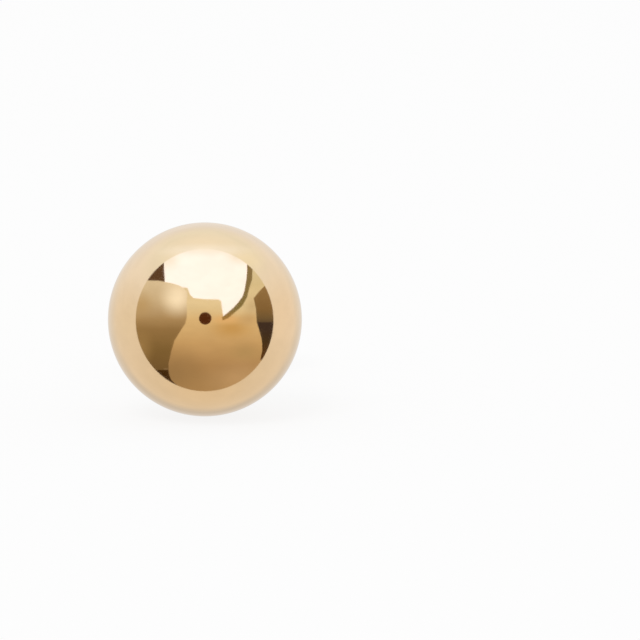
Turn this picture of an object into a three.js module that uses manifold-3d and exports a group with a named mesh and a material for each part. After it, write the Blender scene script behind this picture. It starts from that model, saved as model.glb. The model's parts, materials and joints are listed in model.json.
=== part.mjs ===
// Ball stud earring: a hollow polished ball with its ear post soldered on, and the butterfly
// clutch that grips the post behind the ear lobe.
//
// Millimetres, +Z up. The earring lies the way it does when it is put down: the underside of the
// ball and the lower edges of the clutch's two wings touch the surface at Z = 0, so the post
// slopes down behind the ball. The front of the ball faces -Y, and the origin is the middle of
// the base of the bounding box.

import * as THREE from "three";
import { mergeVertices } from "three/addons/utils/BufferGeometryUtils.js";
import Module from "manifold-3d";

// Ball: two thin half shells, soldered together and polished as one
const ballDiameter = 8.0;
const ballWall = 0.2;
const ventDiameter = 0.5; // lets hot gas out of the ball while it is soldered
const ventToSolder = 0.45; // skin left between the solder and the vent, on the ball's underside

// Post: a straight wire with a shallow groove where the clutch settles
const postDiameter = 0.8;
const postLength = 9.5; // from the ball's skin to the tip
const solderRadius = 0.35; // hollow fillet of solder round the foot of the post
const tipRound = 0.22;
const grooveToTip = 1.9; // from the middle of the groove to the tip
const grooveWidth = 0.8;
const grooveDepth = 0.07;

// Clutch: one strip, pierced in the middle, with both ends rolled back until they grip the post
const stripThickness = 0.25;
const curlDiameter = 2.5; // outside of each rolled end
const curlTurn = 300; // degrees that each end is rolled through
const wingHeight = 4.2; // width of the strip at the middle of a wing
const waistDepth = 0.55; // how far each edge of the strip is cut in between the wings
const wingTaper = 0.4; // how far each edge draws in again at the outer side of a wing
const gripGap = 0.05; // between the curls and the post
const holeClearance = 0.08; // between the pierced hole and the post

const cutPast = 0.25; // how far a cutting shape runs past what it cuts

// Fineness of the round shapes
const latheSides = 48;
const halfBallSteps = 12;
const hollowSides = 32;
const smallArcSteps = 5;
const curlSteps = 12;
const outlineSteps = 8;
const holeSides = 24;

const ballRadius = ballDiameter / 2;
const postRadius = postDiameter / 2;
const postTip = ballRadius + postLength; // from the ball's centre
const curlRadius = curlDiameter / 2;
const curlCentre = postRadius + gripGap + curlRadius; // from the post's axis
const grooveCentre = postTip - grooveToTip; // from the ball's centre
const clutchFront = grooveCentre - curlRadius; // the curls grip where they are thickest

const polishedGold = new THREE.MeshStandardMaterial({
  color: 0xe6bd7c,
  metalness: 1,
  roughness: 0.06,
});
const stampedGold = new THREE.MeshStandardMaterial({
  color: 0xdfb570,
  metalness: 1,
  roughness: 0.22,
});

const wasm = await Module();
wasm.setup();

// Closed geometry as a solid that can be joined and cut
function solidOf(geometry) {
  geometry.deleteAttribute("normal");
  geometry.deleteAttribute("uv");
  const merged = mergeVertices(geometry);
  return new wasm.Manifold(
    new wasm.Mesh({
      numProp: 3,
      vertProperties: new Float32Array(merged.attributes.position.array),
      triVerts: new Uint32Array(merged.index.array),
    }),
  );
}

function geometryOf(solid) {
  const mesh = solid.getMesh();
  const geometry = new THREE.BufferGeometry();
  geometry.setAttribute("position", new THREE.BufferAttribute(mesh.vertProperties, 3));
  geometry.setIndex(new THREE.BufferAttribute(mesh.triVerts, 1));
  const faceted = geometry.toNonIndexed();
  faceted.computeVertexNormals();
  return faceted;
}

// Points of an arc round (x, y), both ends included, with angles in radians from +X
function arc(x, y, radius, from, to, steps) {
  return Array.from({ length: steps + 1 }, (_, i) => {
    const angle = from + ((to - from) * i) / steps;
    return new THREE.Vector2(x + radius * Math.cos(angle), y + radius * Math.sin(angle));
  });
}

// Angle at the ball's centre between the post's axis and the edge of the solder
const solderEdge = Math.asin((postRadius + solderRadius) / (ballRadius + solderRadius));

// Outside of ball, solder and post, from the front of the ball to the tip, turned about +Y
function studProfile() {
  const quarter = Math.PI / 2;
  const solderX = postRadius + solderRadius;
  const solderY = (ballRadius + solderRadius) * Math.cos(solderEdge);
  const solderFrom = 3 * quarter - solderEdge;
  const grooveRadius = (grooveDepth ** 2 + (grooveWidth / 2) ** 2) / (2 * grooveDepth);
  const grooveHalf = Math.asin(grooveWidth / 2 / grooveRadius);
  const grooveX = postRadius - grooveDepth + grooveRadius;
  const grooveFrom = Math.PI + grooveHalf;
  const grooveTo = Math.PI - grooveHalf;
  const tipX = postRadius - tipRound;
  return [
    new THREE.Vector2(0, -ballRadius),
    ...arc(0, 0, ballRadius, -quarter, 0, halfBallSteps).slice(1),
    ...arc(0, 0, ballRadius, 0, quarter - solderEdge, halfBallSteps).slice(1),
    ...arc(solderX, solderY, solderRadius, solderFrom, Math.PI, smallArcSteps).slice(1),
    ...arc(grooveX, grooveCentre, grooveRadius, grooveFrom, grooveTo, smallArcSteps),
    ...arc(tipX, postTip - tipRound, tipRound, 0, quarter, smallArcSteps),
    new THREE.Vector2(0, postTip),
  ];
}

function ballAndPost() {
  const outside = solidOf(new THREE.LatheGeometry(studProfile(), latheSides));
  const hollow = solidOf(
    new THREE.SphereGeometry(ballRadius - ballWall, hollowSides, hollowSides / 2),
  );
  const ventRadius = ventDiameter / 2;
  const ventFromAxis = ballRadius * Math.sin(solderEdge) + ventToSolder + ventRadius;
  const vent = solidOf(
    new THREE.CylinderGeometry(ventRadius, ventRadius, ballWall + 2 * cutPast, holeSides)
      .translate(0, ballRadius - ballWall / 2, 0)
      .rotateX(-Math.asin(ventFromAxis / ballRadius)),
  );
  const mesh = new THREE.Mesh(geometryOf(outside.subtract(hollow).subtract(vent)), polishedGold);
  mesh.name = "ball_and_post";
  return mesh;
}

// The bent strip seen edge on: X across the wings, Y along the post from the strip's front face
function stripProfile() {
  const inside = curlRadius - stripThickness;
  const start = -Math.PI / 2;
  const end = start + THREE.MathUtils.degToRad(curlTurn);
  return new THREE.Shape()
    .moveTo(-curlCentre, 0)
    .lineTo(curlCentre, 0)
    .absarc(curlCentre, curlRadius, curlRadius, start, end, false)
    .absarc(curlCentre, curlRadius, inside, end, start, true)
    .lineTo(-curlCentre, stripThickness)
    .absarc(-curlCentre, curlRadius, inside, Math.PI - start, Math.PI - end, true)
    .absarc(-curlCentre, curlRadius, curlRadius, Math.PI - end, Math.PI - start, false);
}

// Half the strip's width at x, widest at the middle of each wing
function wingEdge(x) {
  const fromWing = Math.abs(x) - curlCentre;
  const drawnIn =
    fromWing < 0
      ? waistDepth * Math.sin((Math.PI / 2) * (fromWing / curlCentre)) ** 2
      : wingTaper * (fromWing / curlRadius) ** 2;
  return wingHeight / 2 - drawnIn;
}

// The strip's butterfly outline seen from the ear: X across the wings, Y up the wings
function wingOutline() {
  const outer = curlCentre + curlRadius + cutPast;
  const places = Array.from({ length: outlineSteps }, (_, i) => i / outlineSteps);
  const right = [
    ...places.map((share) => THREE.MathUtils.lerp(outer, curlCentre, share)),
    ...places.map((share) => THREE.MathUtils.lerp(curlCentre, 0, share)),
  ];
  const left = right.map((x) => -x).reverse();
  const top = [...right, 0, ...left].map((x) => new THREE.Vector2(x, wingEdge(x)));
  const bottom = top.map(({ x, y }) => new THREE.Vector2(x, -y)).reverse();
  return new THREE.Shape([...top, ...bottom]);
}

function butterflyClutch() {
  const stripWidth = wingHeight + 2 * cutPast; // trimmed to the outline
  const strip = solidOf(
    new THREE.ExtrudeGeometry(stripProfile(), {
      depth: stripWidth,
      bevelEnabled: false,
      curveSegments: curlSteps,
    }).translate(0, 0, -stripWidth / 2),
  );
  const outlineDepth = curlDiameter + 2 * cutPast;
  const outline = solidOf(
    new THREE.ExtrudeGeometry(wingOutline(), { depth: outlineDepth, bevelEnabled: false })
      .rotateX(-Math.PI / 2)
      .translate(0, -cutPast, 0),
  );
  const holeRadius = postRadius + holeClearance;
  const holeDepth = stripThickness + 2 * cutPast;
  const hole = solidOf(
    new THREE.CylinderGeometry(holeRadius, holeRadius, holeDepth, holeSides)
      .translate(0, stripThickness / 2, 0),
  );
  const mesh = new THREE.Mesh(geometryOf(strip.intersect(outline).subtract(hole)), stampedGold);
  mesh.name = "butterfly_clutch";
  mesh.position.y = clutchFront;
  return mesh;
}

// The earring tips about the ball's centre until the first point behind the ball meets the surface
function restingTilt(meshes) {
  const point = new THREE.Vector3();
  let tilt = Math.PI / 2;
  for (const mesh of meshes) {
    mesh.updateMatrix();
    const corners = mesh.geometry.getAttribute("position");
    for (let i = 0; i < corners.count; i++) {
      point.fromBufferAttribute(corners, i).applyMatrix4(mesh.matrix);
      if (point.y > ballRadius) {
        const below = Math.atan2(-point.z, point.y);
        const reach = Math.hypot(point.y, point.z);
        tilt = Math.min(tilt, Math.asin(ballRadius / reach) - below);
      }
    }
  }
  return tilt;
}

const stud = new THREE.Group();
stud.add(ballAndPost(), butterflyClutch());
stud.rotation.x = -restingTilt(stud.children);
stud.position.z = ballRadius;

const box = new THREE.Box3().setFromObject(stud, true);
stud.position.y = -(box.min.y + box.max.y) / 2;

const earring = new THREE.Group();
earring.add(stud);

export default earring;
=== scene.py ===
import json
import math

import bmesh
import bpy
from mathutils import Matrix, Vector


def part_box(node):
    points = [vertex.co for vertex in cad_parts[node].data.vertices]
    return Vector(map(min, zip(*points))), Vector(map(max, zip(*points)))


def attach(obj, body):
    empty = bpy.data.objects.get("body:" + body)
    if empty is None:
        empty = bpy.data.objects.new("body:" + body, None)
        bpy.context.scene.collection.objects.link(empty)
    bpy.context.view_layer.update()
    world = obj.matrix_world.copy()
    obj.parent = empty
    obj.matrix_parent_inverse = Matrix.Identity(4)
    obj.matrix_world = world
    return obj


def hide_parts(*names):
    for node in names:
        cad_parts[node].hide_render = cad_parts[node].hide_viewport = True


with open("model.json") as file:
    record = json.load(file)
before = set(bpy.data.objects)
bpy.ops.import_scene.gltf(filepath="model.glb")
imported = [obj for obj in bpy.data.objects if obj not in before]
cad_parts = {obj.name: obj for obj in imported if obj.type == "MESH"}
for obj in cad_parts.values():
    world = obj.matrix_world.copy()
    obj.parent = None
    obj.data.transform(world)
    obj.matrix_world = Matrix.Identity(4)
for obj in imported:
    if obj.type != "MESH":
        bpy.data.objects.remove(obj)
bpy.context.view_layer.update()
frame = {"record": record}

mm = 0.001

# The stud's own axes: Y along the post from the middle of the ball, Z up the clutch's wings
mounts = {mount["name"]: mount for mount in frame["record"]["mounts"]}
tipPoint = Vector(mounts["post_tip"]["pos_m"])
postAxis = Vector(mounts["post_tip"]["axis"]).normalized()
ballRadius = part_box("ball_and_post")[1].x
postTip = (tipPoint.z - ballRadius) / postAxis.z  # from the ball's centre
ballCentre = tipPoint - postAxis * postTip
postSlope = math.asin(-postAxis.z)
studPlace = Matrix.Translation(ballCentre) @ Matrix.Rotation(-postSlope, 4, "X")
clutchFront = (Vector(mounts["clutch_lobe_face"]["pos_m"]) - ballCentre).dot(postAxis)
print("frame read: ball radius", round(ballRadius / mm, 3), "mm")

sharpTurn = math.radians(50)  # edges that turn more than this are rounded
mergeDistance = 0.0001 * mm
quarterTurn = 90
halfTurn = 180


# Drawing an outline in the XY plane with one vertex as the pen

def penTo(bm, pen, x, y):
    new = bmesh.ops.extrude_vert_indiv(bm, verts=[pen])["verts"][0]
    new.co = (x, y, 0)
    return new


def penArc(bm, pen, centre, degrees, steps):
    swept = bmesh.ops.spin(
        bm, geom=[pen], cent=(centre[0], centre[1], 0), axis=(0, 0, 1), dvec=(0, 0, 0),
        angle=math.radians(degrees), steps=steps,
        use_merge=False, use_normal_flip=False, use_duplicate=False,
    )
    return swept["geom_last"][0]


# A full turn of the outline about Y, with its poles and seam closed
def turnOnLathe(bm, steps):
    bmesh.ops.spin(
        bm, geom=bm.verts[:] + bm.edges[:], cent=(0, 0, 0), axis=(0, 1, 0), dvec=(0, 0, 0),
        angle=2 * math.pi, steps=steps,
        use_merge=True, use_normal_flip=False, use_duplicate=False,
    )
    bmesh.ops.remove_doubles(bm, verts=bm.verts, dist=mergeDistance)
    bmesh.ops.recalc_face_normals(bm, faces=bm.faces)


def roundSharpEdges(bm, width, segments):
    sharp = [edge for edge in bm.edges if edge.calc_face_angle(0) > sharpTurn]
    return bmesh.ops.bevel(
        bm, geom=sharp, offset=width, offset_type="OFFSET", affect="EDGES",
        segments=segments, profile=0.5, material=-1, clamp_overlap=True,
    )


# The finished mesh as a piece of the earring, with its place in its mesh
def makePiece(bm, name, place, material, node):
    bmesh.ops.transform(bm, matrix=place, verts=bm.verts)
    mesh = bpy.data.meshes.new(name)
    bm.to_mesh(mesh)
    bm.free()
    mesh.shade_smooth()
    piece = bpy.data.objects.new(name, mesh)
    bpy.context.scene.collection.objects.link(piece)
    mesh.materials.append(material)
    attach(piece, "root")
    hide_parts(node)
    print(name, len(mesh.polygons), "faces")


# Materials

goldColour = (0.87, 0.68, 0.44, 1)
usualNoise = (0.35, 0.65)  # most of a noise texture lies in here


def newMaterial(name):
    material = bpy.data.materials.new(name)
    material.use_nodes = True
    material.node_tree.nodes.clear()
    return material, material.node_tree


def addNode(tree, kind, inputs=None, **settings):
    node = tree.nodes.new(kind)
    for key, value in settings.items():
        setattr(node, key, value)
    for key, value in (inputs or {}).items():
        if isinstance(value, bpy.types.NodeSocket):
            tree.links.new(value, node.inputs[key])
        else:
            node.inputs[key].default_value = value
    return node


# Object coordinates turned into the stud's own axes
def studCoordinates(tree):
    place = addNode(tree, "ShaderNodeTexCoord")
    turned = addNode(tree, "ShaderNodeMapping", {
        "Vector": place.outputs["Object"],
        "Location": ballCentre,
        "Rotation": (-postSlope, 0, 0),
    }, vector_type="TEXTURE")
    return turned.outputs["Vector"]


def stretched(tree, vector, scale):
    return addNode(tree, "ShaderNodeMapping", {"Vector": vector, "Scale": scale}).outputs["Vector"]


def noise(tree, vector, scale, detail=2.0):
    made = addNode(tree, "ShaderNodeTexNoise", {"Vector": vector, "Scale": scale, "Detail": detail})
    return made.outputs["Fac"]


def remap(tree, value, fromLow, fromHigh, toLow, toHigh, smooth=False):
    made = addNode(tree, "ShaderNodeMapRange", {
        "Value": value, "From Min": fromLow, "From Max": fromHigh, "To Min": toLow, "To Max": toHigh,
    }, interpolation_type="SMOOTHSTEP" if smooth else "LINEAR")
    return made.outputs["Result"]


# The usual range of a noise spread over low to high
def spread(tree, grain, low, high):
    return remap(tree, grain, *usualNoise, low, high)


def compute(tree, operation, first, second=0.0):
    return addNode(tree, "ShaderNodeMath", {0: first, 1: second}, operation=operation).outputs[0]


# A Mix node's sockets go by number: 2 and 3 mix values, 6 and 7 mix colours
def mixValues(tree, share, first, second):
    return addNode(tree, "ShaderNodeMix", {0: share, 2: first, 3: second}).outputs[0]


def mixColours(tree, share, first, second):
    made = addNode(tree, "ShaderNodeMix", {0: share, 6: first, 7: second}, data_type="RGBA")
    return made.outputs[2]


def bump(tree, height, distance, normal=None):
    inputs = {"Height": height, "Distance": distance, "Strength": 1.0}
    if normal:
        inputs["Normal"] = normal
    return addNode(tree, "ShaderNodeBump", inputs).outputs["Normal"]


def goldShader(tree, colour, roughness, normal):
    shader = addNode(tree, "ShaderNodeBsdfPrincipled", {
        "Base Color": colour, "Metallic": 1.0, "Roughness": roughness, "Normal": normal,
    })
    output = addNode(tree, "ShaderNodeOutputMaterial")
    tree.links.new(shader.outputs["BSDF"], output.inputs["Surface"])


# Ball: hollow, with the vent under the post, polished to a mirror

ball = {
    "wall": 0.2 * mm,
    "ventDiameter": 0.5 * mm,
    "ventFromPost": 1.39 * mm,
    "lipRound": 0.035 * mm,
    "lipSegments": 3,
    "steps": 192,
    "outerArcSteps": 112,
    "innerArcSteps": 40,
}

ballFinish = {
    "deepTone": (0.86, 0.668, 0.424, 1),
    "toneScale": 260,
    "smoothest": 0.05,
    "roughest": 0.075,
    "wipeScale": 900,
    "wipeDetail": 4,
    "wipeStretch": (1, 0.35, 1.6),
    "waveScale": 320,
    "waveDetail": 1,
    "waveHeight": 0.00035 * mm,
    "hairScale": 5200,
    "hairDetail": 3,
    "hairStretch": (1, 0.06, 1),
    "hairHeight": 0.00006 * mm,
}


def polishedGold():
    material, tree = newMaterial("polishedGold")
    at = studCoordinates(tree)
    tone = spread(tree, noise(tree, at, ballFinish["toneScale"]), 0, 1)
    colour = mixColours(tree, tone, goldColour, ballFinish["deepTone"])
    wipe = stretched(tree, at, ballFinish["wipeStretch"])
    wiped = noise(tree, wipe, ballFinish["wipeScale"], ballFinish["wipeDetail"])
    roughness = spread(tree, wiped, ballFinish["smoothest"], ballFinish["roughest"])
    waved = noise(tree, at, ballFinish["waveScale"], ballFinish["waveDetail"])
    waves = bump(tree, waved, ballFinish["waveHeight"])
    hair = stretched(tree, at, ballFinish["hairStretch"])
    hairs = noise(tree, hair, ballFinish["hairScale"], ballFinish["hairDetail"])
    normal = bump(tree, hairs, ballFinish["hairHeight"], waves)
    goldShader(tree, colour, roughness, normal)
    return material


def hollowBall():
    innerRadius = ballRadius - ball["wall"]
    ventRadius = ball["ventDiameter"] / 2
    ventOuter = math.asin(ventRadius / ballRadius)
    ventInner = math.asin(ventRadius / innerRadius)
    bm = bmesh.new()
    pen = bm.verts.new((0, -ballRadius, 0))
    pen = penArc(bm, pen, (0, 0), halfTurn - math.degrees(ventOuter), ball["outerArcSteps"])
    pen = penTo(bm, pen, ventRadius, innerRadius * math.cos(ventInner))
    penArc(bm, pen, (0, 0), math.degrees(ventInner) - halfTurn, ball["innerArcSteps"])
    turnOnLathe(bm, ball["steps"])
    roundSharpEdges(bm, ball["lipRound"], ball["lipSegments"])
    ventTurn = math.asin(ball["ventFromPost"] / ballRadius)
    place = studPlace @ Matrix.Rotation(-ventTurn, 4, "X")
    makePiece(bm, "hollowBall", place, polishedGold(), "ball_and_post")


# Ear post: drawn wire with its solder, the clutch's groove and a rounded tip

post = {
    "radius": 0.4 * mm,
    "solderRadius": 0.35 * mm,
    "footDepth": 0.15 * mm,
    "featherTurn": 3,  # the solder thins out into the ball's skin
    "featherDepth": 0.008 * mm,
    "grooveToTip": 1.9 * mm,
    "grooveWidth": 0.8 * mm,
    "grooveDepth": 0.07 * mm,
    "tipRound": 0.22 * mm,
    "steps": 96,
    "arcSteps": 12,
}

postFinish = {
    "solderTone": (0.87, 0.70, 0.475, 1),
    "solderFade": (0.35 * mm, 0.75 * mm),  # from the ball's skin
    "solderRagged": 0.12 * mm,
    "solderRoughness": 0.22,
    "solderScale": 2100,
    "solderDetail": 2,
    "solderHeight": 0.004 * mm,
    "wireRoughness": 0.13,
    "drawnShare": 0.35,
    "drawnRoughness": 0.03,
    "drawScale": 2600,
    "drawDetail": 3,
    "drawStretch": (1, 0.02, 1),
    "drawHeight": 0.0016 * mm,
    "rubFade": (-1.4 * mm, -0.6 * mm),  # from the clutch's front
    "rubWidth": 0.14 * mm,
    "rubRoughness": 0.3,
}


def wireGold():
    material, tree = newMaterial("wireGold")
    at = studCoordinates(tree)
    parts = addNode(tree, "ShaderNodeSeparateXYZ", {"Vector": at})

    # solder that ends raggedly along the wire
    ragged = noise(tree, at, postFinish["solderScale"], postFinish["solderDetail"])
    reach = remap(tree, ragged, 0, 1, -postFinish["solderRagged"], postFinish["solderRagged"])
    along = compute(tree, "ADD", parts.outputs["Y"], reach)
    fadeStart, fadeEnd = [ballRadius + past for past in postFinish["solderFade"]]
    soldered = remap(tree, along, fadeStart, fadeEnd, 1, 0, True)

    draw = stretched(tree, at, postFinish["drawStretch"])
    drawn = noise(tree, draw, postFinish["drawScale"], postFinish["drawDetail"])
    tone = spread(tree, drawn, 0, postFinish["drawnShare"])
    wireColour = mixColours(tree, tone, goldColour, ballFinish["deepTone"])
    colour = mixColours(tree, soldered, wireColour, postFinish["solderTone"])

    # the curls rub two streaks along the wire where they grip
    rubStart, rubEnd = [clutchFront + past for past in postFinish["rubFade"]]
    gripped = remap(tree, parts.outputs["Y"], rubStart, rubEnd, 0, 1, True)
    fromSide = compute(tree, "ABSOLUTE", parts.outputs["Z"])
    beside = remap(tree, fromSide, 0, postFinish["rubWidth"], 1, 0, True)
    rubbed = compute(tree, "MULTIPLY", gripped, beside)
    wire = mixValues(tree, rubbed, postFinish["wireRoughness"], postFinish["rubRoughness"])
    drawnRough = spread(tree, drawn, -postFinish["drawnRoughness"], postFinish["drawnRoughness"])
    wire = compute(tree, "ADD", wire, drawnRough)
    roughness = mixValues(tree, soldered, wire, postFinish["solderRoughness"])

    lines = bump(tree, drawn, postFinish["drawHeight"])
    pitted = compute(tree, "MULTIPLY", ragged, soldered)
    normal = bump(tree, pitted, postFinish["solderHeight"], lines)
    goldShader(tree, colour, roughness, normal)
    return material


def earPost():
    solderReach = post["radius"] + post["solderRadius"]
    solderEdge = math.asin(solderReach / (ballRadius + post["solderRadius"]))
    solderY = (ballRadius + post["solderRadius"]) * math.cos(solderEdge)
    solderTurn = math.degrees(solderEdge) - quarterTurn
    feather = solderEdge + math.radians(post["featherTurn"])
    featherX = (ballRadius - post["featherDepth"]) * math.sin(feather)
    featherY = (ballRadius - post["featherDepth"]) * math.cos(feather)
    footY = ballRadius - post["footDepth"]
    grooveHalf = post["grooveWidth"] / 2
    grooveRadius = (post["grooveDepth"] ** 2 + grooveHalf ** 2) / (2 * post["grooveDepth"])
    grooveTurn = 2 * math.degrees(math.asin(grooveHalf / grooveRadius))
    grooveX = post["radius"] - post["grooveDepth"] + grooveRadius
    grooveY = postTip - post["grooveToTip"]
    tipX = post["radius"] - post["tipRound"]
    tipY = postTip - post["tipRound"]
    bm = bmesh.new()
    pen = bm.verts.new((0, footY, 0))
    pen = penTo(bm, pen, featherX, footY)
    pen = penTo(bm, pen, featherX, featherY)
    pen = penTo(bm, pen, ballRadius * math.sin(solderEdge), ballRadius * math.cos(solderEdge))
    pen = penArc(bm, pen, (solderReach, solderY), solderTurn, post["arcSteps"])
    pen = penTo(bm, pen, post["radius"], grooveY - grooveHalf)
    pen = penArc(bm, pen, (grooveX, grooveY), -grooveTurn, post["arcSteps"])
    pen = penTo(bm, pen, post["radius"], tipY)
    pen = penArc(bm, pen, (tipX, tipY), quarterTurn, post["arcSteps"])
    penTo(bm, pen, 0, postTip)
    turnOnLathe(bm, post["steps"])
    makePiece(bm, "earPost", studPlace, wireGold(), "ball_and_post")


# Butterfly clutch: a stamped strip, pierced in the middle, with both ends rolled

clutch = {
    "thickness": 0.25 * mm,
    "curlRadius": 1.25 * mm,
    "curlTurn": 300,
    "wingHeight": 4.2 * mm,
    "waistDepth": 0.55 * mm,
    "wingTaper": 0.4 * mm,
    "gripGap": 0.05 * mm,
    "holeRadius": 0.48 * mm,
    "dishRadius": 0.95 * mm,
    "dishDepth": 0.06 * mm,
    "edgeRound": 0.06 * mm,
    "edgeSegments": 3,
    "panelCells": 28,
    "openCells": 12,
    "roundedShare": 0.4,
    "curlSteps": 48,
    "edgeReach": 0.01 * mm,  # how near to the panel's side an edge counts as part of it
}

clutchFinish = {
    "tone": (0.85, 0.65, 0.40, 1),
    "smoothest": 0.16,
    "roughest": 0.26,
    "edgeRoughness": 0.1,
    "rollScale": 9000,
    "rollDetail": 4,
    "rollStretch": (0.04, 0.04, 1),
    "rollHeight": 0.0022 * mm,
    "tumbleScale": 2400,
    "tumbleDetail": 3,
    "tumbleHeight": 0.0018 * mm,
}


def stampedGold():
    material, tree = newMaterial("stampedGold")
    at = studCoordinates(tree)
    roll = stretched(tree, at, clutchFinish["rollStretch"])
    rolled = noise(tree, roll, clutchFinish["rollScale"], clutchFinish["rollDetail"])
    tumbled = noise(tree, at, clutchFinish["tumbleScale"], clutchFinish["tumbleDetail"])
    colour = mixColours(tree, spread(tree, tumbled, 0, 1), goldColour, clutchFinish["tone"])
    face = spread(tree, tumbled, clutchFinish["smoothest"], clutchFinish["roughest"])
    rim = addNode(tree, "ShaderNodeAttribute", attribute_name="rim").outputs["Fac"]
    roughness = mixValues(tree, rim, face, clutchFinish["edgeRoughness"])
    lines = bump(tree, rolled, clutchFinish["rollHeight"])
    normal = bump(tree, tumbled, clutchFinish["tumbleHeight"], lines)
    goldShader(tree, colour, roughness, normal)
    return material


def butterflyClutch():
    halfHeight = clutch["wingHeight"] / 2
    curlCentre = post["radius"] + clutch["gripGap"] + clutch["curlRadius"]
    holeRadius = clutch["holeRadius"]

    # the strip's edge is cut in at the waist and draws in again past the middle of each wing
    def edgeShare(x):
        fromWing = abs(x) - curlCentre
        if fromWing < 0:
            drawnIn = clutch["waistDepth"] * math.sin(math.pi / 2 * fromWing / curlCentre) ** 2
        else:
            drawnIn = clutch["wingTaper"] * (fromWing / clutch["curlRadius"]) ** 2
        return (halfHeight - drawnIn) / halfHeight

    # the flat middle, facing the ear, with its inner cells drawn round the hole and dished there
    bm = bmesh.new()
    bmesh.ops.create_grid(bm, x_segments=clutch["panelCells"], y_segments=clutch["panelCells"], size=1)
    openShare = clutch["openCells"] / clutch["panelCells"]
    inside = [
        face for face in bm.faces
        if max(abs(face.calc_center_median().x), abs(face.calc_center_median().y)) < openShare
    ]
    bmesh.ops.delete(bm, geom=inside, context="FACES")
    for vert in bm.verts:
        past = max(abs(vert.co.x), abs(vert.co.y)) - openShare
        roundness = max(0, 1 - past / clutch["roundedShare"]) ** 2
        x = vert.co.x * curlCentre
        straight = Vector((x, 0, vert.co.y * halfHeight * edgeShare(x)))
        around = Vector((vert.co.x, 0, vert.co.y)).normalized() * (holeRadius + past * curlCentre)
        vert.co = straight.lerp(around, roundness)
        fromHole = (vert.co.length - holeRadius) / (clutch["dishRadius"] - holeRadius)
        vert.co.y = clutch["dishDepth"] * max(0, 1 - fromHole) ** 2

    # each side edge is rolled about the middle of its curl
    for side in (-1, 1):
        foot = side * curlCentre
        verts = [
            vert for vert in bm.verts
            if math.hypot(vert.co.x - foot, vert.co.y) < clutch["edgeReach"]
        ]
        edges = [edge for edge in bm.edges if all(vert in verts for vert in edge.verts)]
        before = set(bm.verts)
        bmesh.ops.spin(
            bm, geom=verts + edges, cent=(foot, clutch["curlRadius"], 0), axis=(0, 0, 1),
            dvec=(0, 0, 0), angle=side * math.radians(clutch["curlTurn"]), steps=clutch["curlSteps"],
            use_merge=False, use_normal_flip=False, use_duplicate=False,
        )
        for vert in bm.verts:
            if vert not in before:
                vert.co.z *= edgeShare(vert.co.x)
    bmesh.ops.remove_doubles(bm, verts=bm.verts, dist=mergeDistance)
    bmesh.ops.recalc_face_normals(bm, faces=bm.faces)
    frontFace = min(bm.faces, key=lambda face: face.calc_center_median().y)
    if frontFace.normal.y > 0:
        bmesh.ops.reverse_faces(bm, faces=bm.faces)

    # the strip's thickness, then its tumbled edges
    bmesh.ops.solidify(bm, geom=bm.faces[:], thickness=clutch["thickness"])
    rim = bm.verts.layers.float.new("rim")
    for face in roundSharpEdges(bm, clutch["edgeRound"], clutch["edgeSegments"])["faces"]:
        for vert in face.verts:
            vert[rim] = 1
    place = studPlace @ Matrix.Translation((0, clutchFront, 0))
    makePiece(bm, "butterflyClutch", place, stampedGold(), "butterfly_clutch")


hollowBall()
earPost()
butterflyClutch()


# Camera: in front of the ball on the post's slope, with the ball left of the middle

camera = {
    "distance": 300 * mm,
    "photoWidth": 640,
    "ballPixel": (204.9, 319.4),
    "ballPixels": 194.1,
    "sensor": 36,
    "nearest": 1 * mm,
    "farthest": 10,
}

frameWidth = camera["photoWidth"] * 2 * ballRadius / camera["ballPixels"]
pixel = frameWidth / camera["photoWidth"]
cameraRight = Vector((1, 0, 0))
cameraUp = cameraRight.cross(postAxis)
middle = camera["photoWidth"] / 2
cameraPoint = (
    ballCentre
    - postAxis * camera["distance"]
    - cameraRight * (camera["ballPixel"][0] - middle) * pixel
    + cameraUp * (camera["ballPixel"][1] - middle) * pixel
)
cameraData = bpy.data.cameras.new("camera")
cameraData.sensor_width = camera["sensor"]
cameraData.lens = camera["sensor"] * camera["distance"] / frameWidth
cameraData.clip_start = camera["nearest"]
cameraData.clip_end = camera["farthest"]
cameraObject = bpy.data.objects.new("camera", cameraData)
bpy.context.scene.collection.objects.link(cameraObject)
cameraTurn = Matrix((cameraRight, cameraUp, -postAxis)).transposed().to_4x4()
cameraObject.matrix_world = Matrix.Translation(cameraPoint) @ cameraTurn
bpy.context.scene.camera = cameraObject
print("camera", [round(value / mm, 1) for value in cameraPoint], "lens", round(cameraData.lens, 1))


# Studio: a pale floor, and a light tent whose mouth faces the camera. The tent and the cards in front of its
# mouth glow with painted light and are seen only in the polish, so they neither shade nor show.

studio = {
    "tentRadius": 400 * mm,
    "cardGap": 12 * mm,
    "cardEdge": 0.05,  # longest edge of a card's mesh, in ball radii
    "cardSplits": 4,
    # painted unevenness in the glow of the tent and the cards, like light through folded cloth
    "unevenness": 0.02,
    "glowFoldScale": (3, 3, 8),
    "glowFoldDetail": 3,
    "behind": (-0.86, -0.62),  # the tent's back starts and ends here, along the line to the camera
}


def stageObject(bm, name, material, smooth=True):
    mesh = bpy.data.meshes.new(name)
    bm.to_mesh(mesh)
    bm.free()
    if smooth:
        mesh.shade_smooth()
    made = bpy.data.objects.new(name, mesh)
    bpy.context.scene.collection.objects.link(made)
    mesh.materials.append(material)
    return made


def onlyInPolish(made):
    made.visible_camera = False
    made.visible_diffuse = False
    made.visible_shadow = False
    made.visible_transmission = False
    made.visible_volume_scatter = False


toCamera = (cameraPoint - ballCentre).normalized()
faceRight = Vector((0, 0, 1)).cross(toCamera).normalized()
faceUp = toCamera.cross(faceRight)
facePlace = Matrix((faceRight, faceUp, toCamera)).transposed()


# Where the studio shows at (u, v) on the ball's face, in ball radii right and up from its middle
def seenFrom(u, v):
    out = math.sqrt(max(0, 1 - u * u - v * v))
    return facePlace @ Vector((2 * u * out, 2 * v * out, 2 * out * out - 1))


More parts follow.
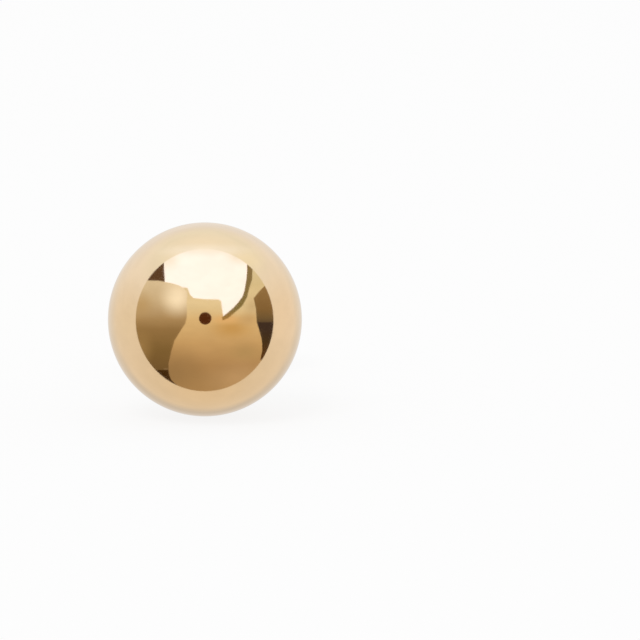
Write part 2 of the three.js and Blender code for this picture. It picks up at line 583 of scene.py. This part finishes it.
def vectorMath(tree, operation, first, second=None):
    inputs = {0: first} if second is None else {0: first, 1: second}
    made = addNode(tree, "ShaderNodeVectorMath", inputs, operation=operation)
    return made.outputs["Value" if operation in ("DOT_PRODUCT", "LENGTH") else "Vector"]


# Colours that change with a value from -1 to 1
def colourStops(tree, value, stops):
    ramp = addNode(tree, "ShaderNodeValToRGB", {"Fac": remap(tree, value, -1, 1, 0, 1)})
    elements = ramp.color_ramp.elements
    while len(elements) < len(stops):
        elements.new(0)  # each gets its place below
    for element, (where, colour) in zip(elements, sorted(stops.items())):
        element.position = (where + 1) / 2
        element.color = (*colour, 1)
    return ramp.outputs["Color"]


# Light that changes up the ball's face by its stops, with soft glows and shades set into it.
# Cloth all round the stud goes by height instead, and has stops of its own behind the stud.
def cardPaint(name, stops, glows=(), behind=None):
    material, tree = newMaterial(name)
    place = addNode(tree, "ShaderNodeTexCoord").outputs["Object"]
    heading = vectorMath(tree, "NORMALIZE", vectorMath(tree, "SUBTRACT", place, ballCentre))
    mirror = vectorMath(tree, "NORMALIZE", vectorMath(tree, "ADD", heading, toCamera))
    u = vectorMath(tree, "DOT_PRODUCT", mirror, faceRight)
    v = vectorMath(tree, "DOT_PRODUCT", mirror, faceUp)
    height = vectorMath(tree, "DOT_PRODUCT", heading, faceUp)
    light = colourStops(tree, height if behind else v, stops)
    face = addNode(tree, "ShaderNodeCombineXYZ", {"X": u, "Y": v}).outputs[0]
    for glow in glows:
        away = addNode(tree, "ShaderNodeMapping", {
            "Vector": face,
            "Location": (*glow["place"], 0),
            "Scale": (*glow["reach"], 1),
        }, vector_type="TEXTURE")
        distance = vectorMath(tree, "LENGTH", away.outputs[0])
        share = remap(tree, distance, 0, 1, glow["strength"], 0, True)
        light = mixColours(tree, share, light, (*glow["colour"], 1))
    if behind:
        forward = vectorMath(tree, "DOT_PRODUCT", heading, toCamera)
        share = remap(tree, forward, *studio["behind"], 1, 0, True)
        light = mixColours(tree, share, light, colourStops(tree, height, behind))
    # Painted unevenness: every card's glow a little brighter and darker at random, like light through folded
    # cloth
    unevenGlow = noise(tree, stretched(tree, heading, studio["glowFoldScale"]), 1, studio["glowFoldDetail"])
    strength = spread(tree, unevenGlow, 1 - studio["unevenness"], 1 + studio["unevenness"])
    shader = addNode(tree, "ShaderNodeEmission", {"Color": light, "Strength": strength})
    output = addNode(tree, "ShaderNodeOutputMaterial")
    tree.links.new(shader.outputs[0], output.inputs["Surface"])
    return material


# A card cut to an outline on the ball's face, then carried out to its place round the studio
def studioCard(name, outline, radius, material):
    bm = bmesh.new()
    first = bm.verts.new((*outline[0], 0))
    pen = first
    for u, v in outline[1:]:
        pen = penTo(bm, pen, u, v)
    bm.edges.new((pen, first))
    bmesh.ops.triangle_fill(bm, use_beauty=True, use_dissolve=False, edges=bm.edges, normal=(0, 0, 1))
    for _ in range(studio["cardSplits"]):
        long = [edge for edge in bm.edges if edge.calc_length() > studio["cardEdge"]]
        bmesh.ops.subdivide_edges(bm, edges=long, cuts=1)
        bmesh.ops.triangulate(bm, faces=bm.faces)
    for vert in bm.verts:
        vert.co = ballCentre + seenFrom(vert.co.x, vert.co.y) * radius
    onlyInPolish(stageObject(bm, name, material))


# The tent is drawn outwards from the edge of its mouth until it closes behind the stud

tent = {
    "mouthCentre": (-0.003, -0.008),
    "mouthHalves": (0.704, 0.727),
    "mouthTilt": 2.2,
    "sides": 192,
    "rings": 64,
    "joinDistance": 0.01 * mm,
    # the tent's glow by height, painted darker and browner towards the bottom
    "stops": {
        -1.0: (0.843, 0.745, 0.63),
        -0.785: (0.825, 0.755, 0.68),
        0.0: (0.905, 0.855, 0.825),
        0.555: (0.955, 0.955, 1.0),
        0.785: (0.94, 0.975, 0.99),
        0.976: (1.015, 1.03, 1.045),
    },
    # painted glows: brighter at the top of the mouth beside the soft box, a little lighter at the right side
    # and darker at the left
    "glows": [
        {"place": (0.0, 0.70), "reach": (0.60, 0.10), "colour": (1.09, 1.18, 1.37), "strength": 1.0},
        {"place": (0.44, 0.60), "reach": (0.22, 0.16), "colour": (1.04, 1.05, 1.0), "strength": 0.8},
        {"place": (0.82, 0.05), "reach": (0.35, 0.5), "colour": (0.94, 0.87, 0.825), "strength": 0.9},
        {"place": (-0.82, 0.0), "reach": (0.35, 0.5), "colour": (0.865, 0.81, 0.745), "strength": 0.9},
    ],
    # painted shade behind the stud, greyer and darker low down
    "behind": {
        -0.54: (0.66, 0.64, 0.64),
        -0.3: (0.735, 0.71, 0.70),
        0.0: (0.82, 0.80, 0.79),
        0.27: (0.885, 0.865, 0.86),
        0.5: (0.905, 0.925, 1.0),
    },
}


def lightTent():
    bm = bmesh.new()
    bmesh.ops.create_circle(bm, segments=tent["sides"], radius=1, cap_ends=False)
    bmesh.ops.scale(bm, vec=(*tent["mouthHalves"], 1), verts=bm.verts)
    tilt = Matrix.Rotation(math.radians(tent["mouthTilt"]), 3, "Z")
    bmesh.ops.rotate(bm, cent=(0, 0, 0), matrix=tilt, verts=bm.verts)
    bmesh.ops.translate(bm, vec=(*tent["mouthCentre"], 0), verts=bm.verts)
    ring = bm.edges[:]
    for stepsLeft in range(tent["rings"], 0, -1):
        made = bmesh.ops.extrude_edge_only(bm, edges=ring)["geom"]
        ring = [part for part in made if isinstance(part, bmesh.types.BMEdge)]
        for vert in {vert for edge in ring for vert in edge.verts}:
            turn = 2 * math.asin(min(1, vert.co.length))
            turn += (math.pi - turn) / stepsLeft
            vert.co *= math.sin(turn / 2) / vert.co.length
    for vert in bm.verts:
        vert.co = ballCentre + seenFrom(vert.co.x, vert.co.y) * studio["tentRadius"]
    bmesh.ops.remove_doubles(bm, verts=bm.verts, dist=tent["joinDistance"])
    paint = cardPaint("tentPaint", tent["stops"], tent["glows"], tent["behind"])
    onlyInPolish(stageObject(bm, "lightTent", paint))


# A glowing sphere beyond the cards that closes the mouth: a painted reflection of the surroundings, tan
# light darker towards the bottom, with painted glows and painted shades set into it

farReflection = {
    "aroundSteps": 64,
    "heightSteps": 32,
    "stops": {
        -0.6: (0.46, 0.32, 0.173),
        -0.48: (0.481, 0.325, 0.173),
        -0.24: (0.658, 0.479, 0.267),
        0.0: (0.81, 0.65, 0.405),
        0.12: (0.869, 0.793, 0.594),
        0.17: (0.90, 0.83, 0.64),
        0.35: (0.80, 0.745, 0.55),
        0.5: (0.80, 0.78, 0.63),
    },
    # painted amber glows and painted shades in the reflected surroundings
    "glows": [
        {"place": (0.27, -0.09), "reach": (0.30, 0.15), "colour": (0.65, 0.43, 0.17), "strength": 0.85},
        {"place": (0.22, 0.0), "reach": (0.22, 0.07), "colour": (0.885, 0.62, 0.34), "strength": 0.9},
        {"place": (0.48, 0.13), "reach": (0.13, 0.16), "colour": (0.70, 0.61, 0.44), "strength": 0.9},
        {"place": (0.42, -0.34), "reach": (0.28, 0.14), "colour": (0.52, 0.39, 0.21), "strength": 0.8},
        {"place": (-0.34, -0.54), "reach": (0.46, 0.36), "colour": (0.375, 0.262, 0.14), "strength": 0.9},
        {"place": (0.40, -0.62), "reach": (0.52, 0.28), "colour": (0.59, 0.43, 0.27), "strength": 0.9},
        {"place": (0.45, 0.0), "reach": (0.17, 0.10), "colour": (0.66, 0.50, 0.30), "strength": 0.85},
    ],
}


def reflectionBeyond(radius):
    bm = bmesh.new()
    bmesh.ops.create_uvsphere(
        bm, u_segments=farReflection["aroundSteps"], v_segments=farReflection["heightSteps"], radius=radius,
    )
    bmesh.ops.translate(bm, vec=ballCentre, verts=bm.verts)
    paint = cardPaint("farReflectionPaint", farReflection["stops"], farReflection["glows"])
    onlyInPolish(stageObject(bm, "farReflection", paint))


# The camera's lens, dark in the middle of the polish

lens = {
    "place": (0.003, 0.010),
    "radius": 0.064,
    "corners": 32,
    "light": {-1: (0.095, 0.03, 0.01), 1: (0.095, 0.03, 0.01)},
}


def lensDisc(radius):
    outline = []
    for corner in range(lens["corners"]):
        angle = 2 * math.pi * corner / lens["corners"]
        outline.append((
            lens["place"][0] + lens["radius"] * math.cos(angle),
            lens["place"][1] + lens["radius"] * math.sin(angle),
        ))
    studioCard("lensDisc", outline, radius, cardPaint("lensPaint", lens["light"]))


# Cards before the mouth of the tent, nearest first; cards with the same layer don't overlap.
# Each card glows with painted light that the polish shows as a painted reflection; the flags, screens and
# strip glow dimly as its dark patches.

cards = {
    "lowFlag": {
        "layer": 0,
        "outline": [
            (-0.55, -0.516), (-0.373, -0.516), (-0.366, -0.566), (-0.347, -0.614), (-0.315, -0.648),
            (-0.28, -0.676), (-0.28, -0.76), (-0.52, -0.70),
        ],
        "stops": {-0.6: (0.06, 0.029, 0.008), -0.5: (0.062, 0.03, 0.008)},
    },
    "leftScreen": {
        "layer": 1,
        "outline": [
            (-0.62, 0.40), (-0.54, 0.398), (-0.46, 0.395), (-0.40, 0.382), (-0.33, 0.368),
            (-0.27, 0.35), (-0.215, 0.322), (-0.18, 0.285), (-0.178, 0.235), (-0.186, 0.17),
            (-0.182, 0.09), (-0.185, 0.02), (-0.20, -0.04), (-0.25, -0.118), (-0.312, -0.216),
            (-0.347, -0.334), (-0.372, -0.45), (-0.372, -0.56), (-0.48, -0.62), (-0.66, -0.42),
            (-0.76, -0.2), (-0.78, 0.05), (-0.74, 0.28),
        ],
        "stops": {
            -0.52: (0.19, 0.125, 0.055),
            -0.3: (0.248, 0.17, 0.073),
            -0.1: (0.335, 0.234, 0.116),
            0.0: (0.469, 0.353, 0.207),
            0.2: (0.70, 0.62, 0.49),
            0.4: (0.81, 0.76, 0.66),
        },
        # a painted highlight high on the screen, with smaller painted glows and a painted shade set in
        "glows": [
            {"place": (-0.28, 0.23), "reach": (0.23, 0.25), "colour": (1.10, 1.09, 1.05), "strength": 1.0},
            {"place": (-0.66, -0.27), "reach": (0.17, 0.32), "colour": (0.37, 0.265, 0.13), "strength": 0.9},
            {"place": (-0.65, 0.16), "reach": (0.17, 0.18), "colour": (0.55, 0.41, 0.21), "strength": 0.6},
            {"place": (-0.4, -0.505), "reach": (0.04, 0.012), "colour": (0.3, 0.22, 0.13), "strength": 1.0},
        ],
    },
    "rightFlag": {
        "layer": 1,
        "outline": [
            (0.529, -0.03), (0.555, -0.116), (0.576, -0.188), (0.584, -0.25), (0.584, -0.325),
            (0.565, -0.412), (0.66, -0.46), (0.80, -0.2), (0.80, -0.03),
        ],
        "stops": {
            -0.38: (0.11, 0.05, 0.014),
            -0.22: (0.07, 0.045, 0.022),
            -0.1: (0.06, 0.04, 0.034),
        },
    },
    "rightScreen": {
        "layer": 2,
        "outline": [
            (0.70, 0.415), (0.608, 0.338), (0.553, 0.283), (0.498, 0.216), (0.522, 0.10), (0.529, -0.03),
            (0.80, -0.03), (0.80, 0.2),
        ],
        "stops": {
            -0.03: (0.13, 0.095, 0.06),
            0.02: (0.19, 0.135, 0.07),
            0.1: (0.257, 0.168, 0.075),
            0.3: (0.33, 0.226, 0.113),
        },
    },
    "topFlag": {
        "layer": 2,
        "outline": [(-0.419, 0.66), (-0.415, 0.50), (-0.406, 0.36), (-0.68, 0.36), (-0.62, 0.52)],
        "stops": {0.4: (0.12, 0.068, 0.038), 0.6: (0.12, 0.068, 0.038)},
    },
    "strip": {
        "layer": 3,
        "outline": [
            (0.175, 0.022), (0.237, 0.072), (0.29, 0.118), (0.34, 0.172), (0.383, 0.232), (0.406, 0.30),
            (0.425, 0.41), (0.432, 0.504), (0.432, 0.62), (0.49, 0.60), (0.487, 0.504), (0.483, 0.41),
            (0.455, 0.324), (0.429, 0.222), (0.381, 0.136), (0.331, 0.0925), (0.237, 0.012),
            (0.18, -0.012),
        ],
        "stops": {
            0.0: (0.42, 0.26, 0.09),
            0.1: (0.26, 0.22, 0.09),
            0.3: (0.265, 0.215, 0.095),
            0.5: (0.30, 0.245, 0.135),
        },
    },
    "softBox": {
        "layer": 4,
        "outline": [
            (0.19, 0.02), (0.176, 0.10), (0.165, 0.185), (0.14, 0.203), (0.0, 0.206), (-0.115, 0.218),
            (-0.15, 0.25), (-0.178, 0.32), (-0.30, 0.34), (-0.45, 0.36), (-0.45, 0.50), (-0.45, 0.62),
            (-0.22, 0.74), (0.0, 0.78), (0.22, 0.74), (0.47, 0.62), (0.45, 0.50), (0.44, 0.40),
            (0.42, 0.295), (0.40, 0.222), (0.36, 0.15), (0.30, 0.10), (0.237, 0.05),
        ],
        "stops": {-1: (1.3, 1.41, 1.85), 1: (1.3, 1.41, 1.85)},
        "glows": [
            {"place": (0.0, 0.765), "reach": (1.2, 0.15), "colour": (1.07, 1.16, 1.32), "strength": 1.0},
            {"place": (0.36, 0.66), "reach": (0.20, 0.14), "colour": (1.07, 1.16, 1.32), "strength": 1.0},
            {"place": (-0.38, 0.62), "reach": (0.18, 0.16), "colour": (1.07, 1.16, 1.32), "strength": 0.8},
        ],
    },
}


def frontCards():
    nearest = studio["tentRadius"] + studio["cardGap"]
    lensDisc(nearest)
    for name, card in cards.items():
        paint = cardPaint(name + "Paint", card["stops"], card.get("glows", ()))
        studioCard(name, card["outline"], nearest + studio["cardGap"] * card["layer"], paint)
    lastLayer = max(card["layer"] for card in cards.values())
    # the painted reflection of the surroundings beyond the last cards
    reflectionBeyond(nearest + studio["cardGap"] * (lastLayer + 1))


# Pale paper, lit through from below so the earring's shadow stays faint

floor = {
    "halfWidth": 500 * mm,
    "colour": (0.09, 0.09, 0.09, 1),
    "glow": 0.870,
    "roughness": 0.9,
    "toothScale": 4000,
    "toothDetail": 3,
    "toothHeight": 0.0006 * mm,
}


def paleFloor():
    material, tree = newMaterial("palePaper")
    place = addNode(tree, "ShaderNodeTexCoord")
    tooth = noise(tree, place.outputs["Object"], floor["toothScale"], floor["toothDetail"])
    shader = addNode(tree, "ShaderNodeBsdfPrincipled", {
        "Base Color": floor["colour"], "Roughness": floor["roughness"], "Specular IOR Level": 0.0,
        "Emission Color": (1, 1, 1, 1), "Emission Strength": floor["glow"],
        "Normal": bump(tree, tooth, floor["toothHeight"]),
    })
    output = addNode(tree, "ShaderNodeOutputMaterial")
    tree.links.new(shader.outputs["BSDF"], output.inputs["Surface"])
    bm = bmesh.new()
    bmesh.ops.create_grid(bm, x_segments=2, y_segments=2, size=floor["halfWidth"])
    made = stageObject(bm, "paleFloor", material, smooth=False)
    made.visible_glossy = False


light = {
    "surround": 0.983,
    "overheadWatts": 10.6,
    "overheadSize": 900 * mm,
    "overheadPoint": (-500 * mm, -880 * mm, 1450 * mm),
}


def studioLight():
    world = bpy.data.worlds.new("paleSurround")
    world.use_nodes = True
    background = world.node_tree.nodes["Background"]
    background.inputs["Color"].default_value = (1, 1, 1, 1)
    background.inputs["Strength"].default_value = light["surround"]
    bpy.context.scene.world = world
    data = bpy.data.lights.new("overhead", "AREA")
    data.shape = "DISK"
    data.size = light["overheadSize"]
    data.energy = light["overheadWatts"]
    overhead = bpy.data.objects.new("overhead", data)
    overhead.location = light["overheadPoint"]
    aim = ballCentre - overhead.location
    overhead.rotation_mode = "QUATERNION"
    overhead.rotation_quaternion = aim.to_track_quat("-Z", "Y")
    overhead.visible_glossy = False
    overhead.visible_camera = False
    bpy.context.scene.collection.objects.link(overhead)


lightTent()
frontCards()
paleFloor()
studioLight()
scene = bpy.context.scene
scene.view_settings.view_transform = "Standard"
scene.view_settings.look = "None"
print("studio set")
